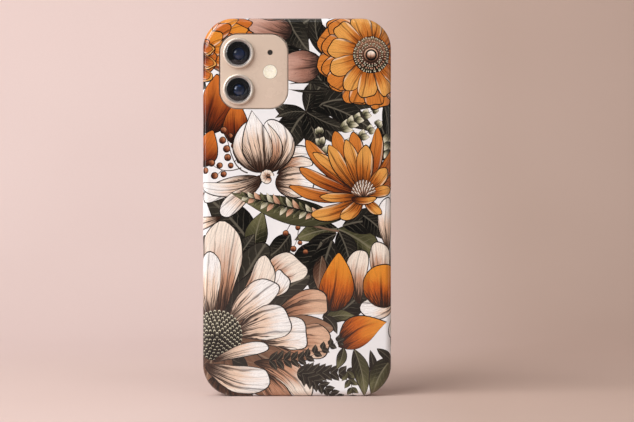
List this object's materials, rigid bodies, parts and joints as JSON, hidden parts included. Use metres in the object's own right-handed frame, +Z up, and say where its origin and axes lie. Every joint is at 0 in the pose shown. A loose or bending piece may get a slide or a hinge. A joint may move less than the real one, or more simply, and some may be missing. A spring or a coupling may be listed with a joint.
{
  "type": "phone case",
  "caption": "Slim one-piece push-on phone case, printed all over with autumn flowers, holding the flat-sided handset it fits. Open at the buttons, camera and port.",
  "frame": {"origin": "middle of the bottom edge, on the level it stands on, halfway between the lens rings' outer faces and the case's front rim", "axes": "+Z up the length of the case, +Y from its printed back towards the screen, +X to the right when the printed back is seen square on"},
  "size_m": [0.0746, 0.011, 0.1499],
  "materials": {
    "printed_shell": "hard shell with an all-over autumn flower print under a gloss coat",
    "anodised_frame": "satin, warm beige anodised",
    "tinted_glass": "pinkish beige, printed behind, gloss",
    "screen_glass": "black, polished",
    "lens_ring": "polished, pale beige",
    "lens_glass": "coated optical glass",
    "black_plastic": "moulded, black",
    "flash_lens": "cream, prismatic",
    "flash_chip": "yellow phosphor",
    "steel": "stamped",
    "acoustic_mesh": "woven, dark",
    "battery_wrap": "wrapped pouch",
    "circuit_board": "solder mask, green"
  },
  "bodies": {
    "case": {"case_shell": "printed_shell"},
    "handset": {"phone_frame": "anodised_frame", "back_glass": "tinted_glass", "front_glass": "screen_glass", "display_panel": "black_plastic", "battery": "battery_wrap", "logic_board": "circuit_board", "board_shield": "steel", "haptic_motor": "steel", "speaker_unit": "black_plastic", "lens_ring_upper": "lens_ring", "lens_ring_lower": "lens_ring", "lens_cover_upper": "lens_glass", "lens_cover_lower": "lens_glass", "camera_barrel_upper": "black_plastic", "camera_barrel_lower": "black_plastic", "lens_element_upper": "lens_glass", "lens_element_lower": "lens_glass", "flash_lens": "flash_lens", "flash_led": "flash_chip", "rear_mic_mesh": "acoustic_mesh", "charge_port": "steel", "port_tongue": "black_plastic", "bottom_screw_left": "steel", "bottom_screw_right": "steel", "speaker_mesh_left": "acoustic_mesh", "speaker_mesh_right": "acoustic_mesh", "earpiece_mesh": "acoustic_mesh", "front_camera_lens": "lens_glass"},
    "side_button": {"side_button": "anodised_frame"},
    "volume_up_button": {"volume_up_button": "anodised_frame"},
    "volume_down_button": {"volume_down_button": "anodised_frame"},
    "ring_switch": {"ring_switch": "anodised_frame"}
  },
  "joints": [
    {"name": "handset_release", "type": "slide", "parent": "case", "child": "handset", "axis": [0, 1, 0], "range_m": [0, 0.014]},
    {"name": "side_button_press", "type": "slide", "parent": "handset", "child": "side_button", "axis": [1, 0, 0], "range_m": [0, 0.00025], "stiffness_N_per_m": 2000},
    {"name": "volume_up_press", "type": "slide", "parent": "handset", "child": "volume_up_button", "axis": [-1, 0, 0], "range_m": [0, 0.00025], "stiffness_N_per_m": 2000},
    {"name": "volume_down_press", "type": "slide", "parent": "handset", "child": "volume_down_button", "axis": [-1, 0, 0], "range_m": [0, 0.00025], "stiffness_N_per_m": 2000},
    {"name": "ring_switch_slide", "type": "slide", "parent": "handset", "child": "ring_switch", "axis": [0, 1, 0], "range_m": [0, 0.0012]}
  ]
}
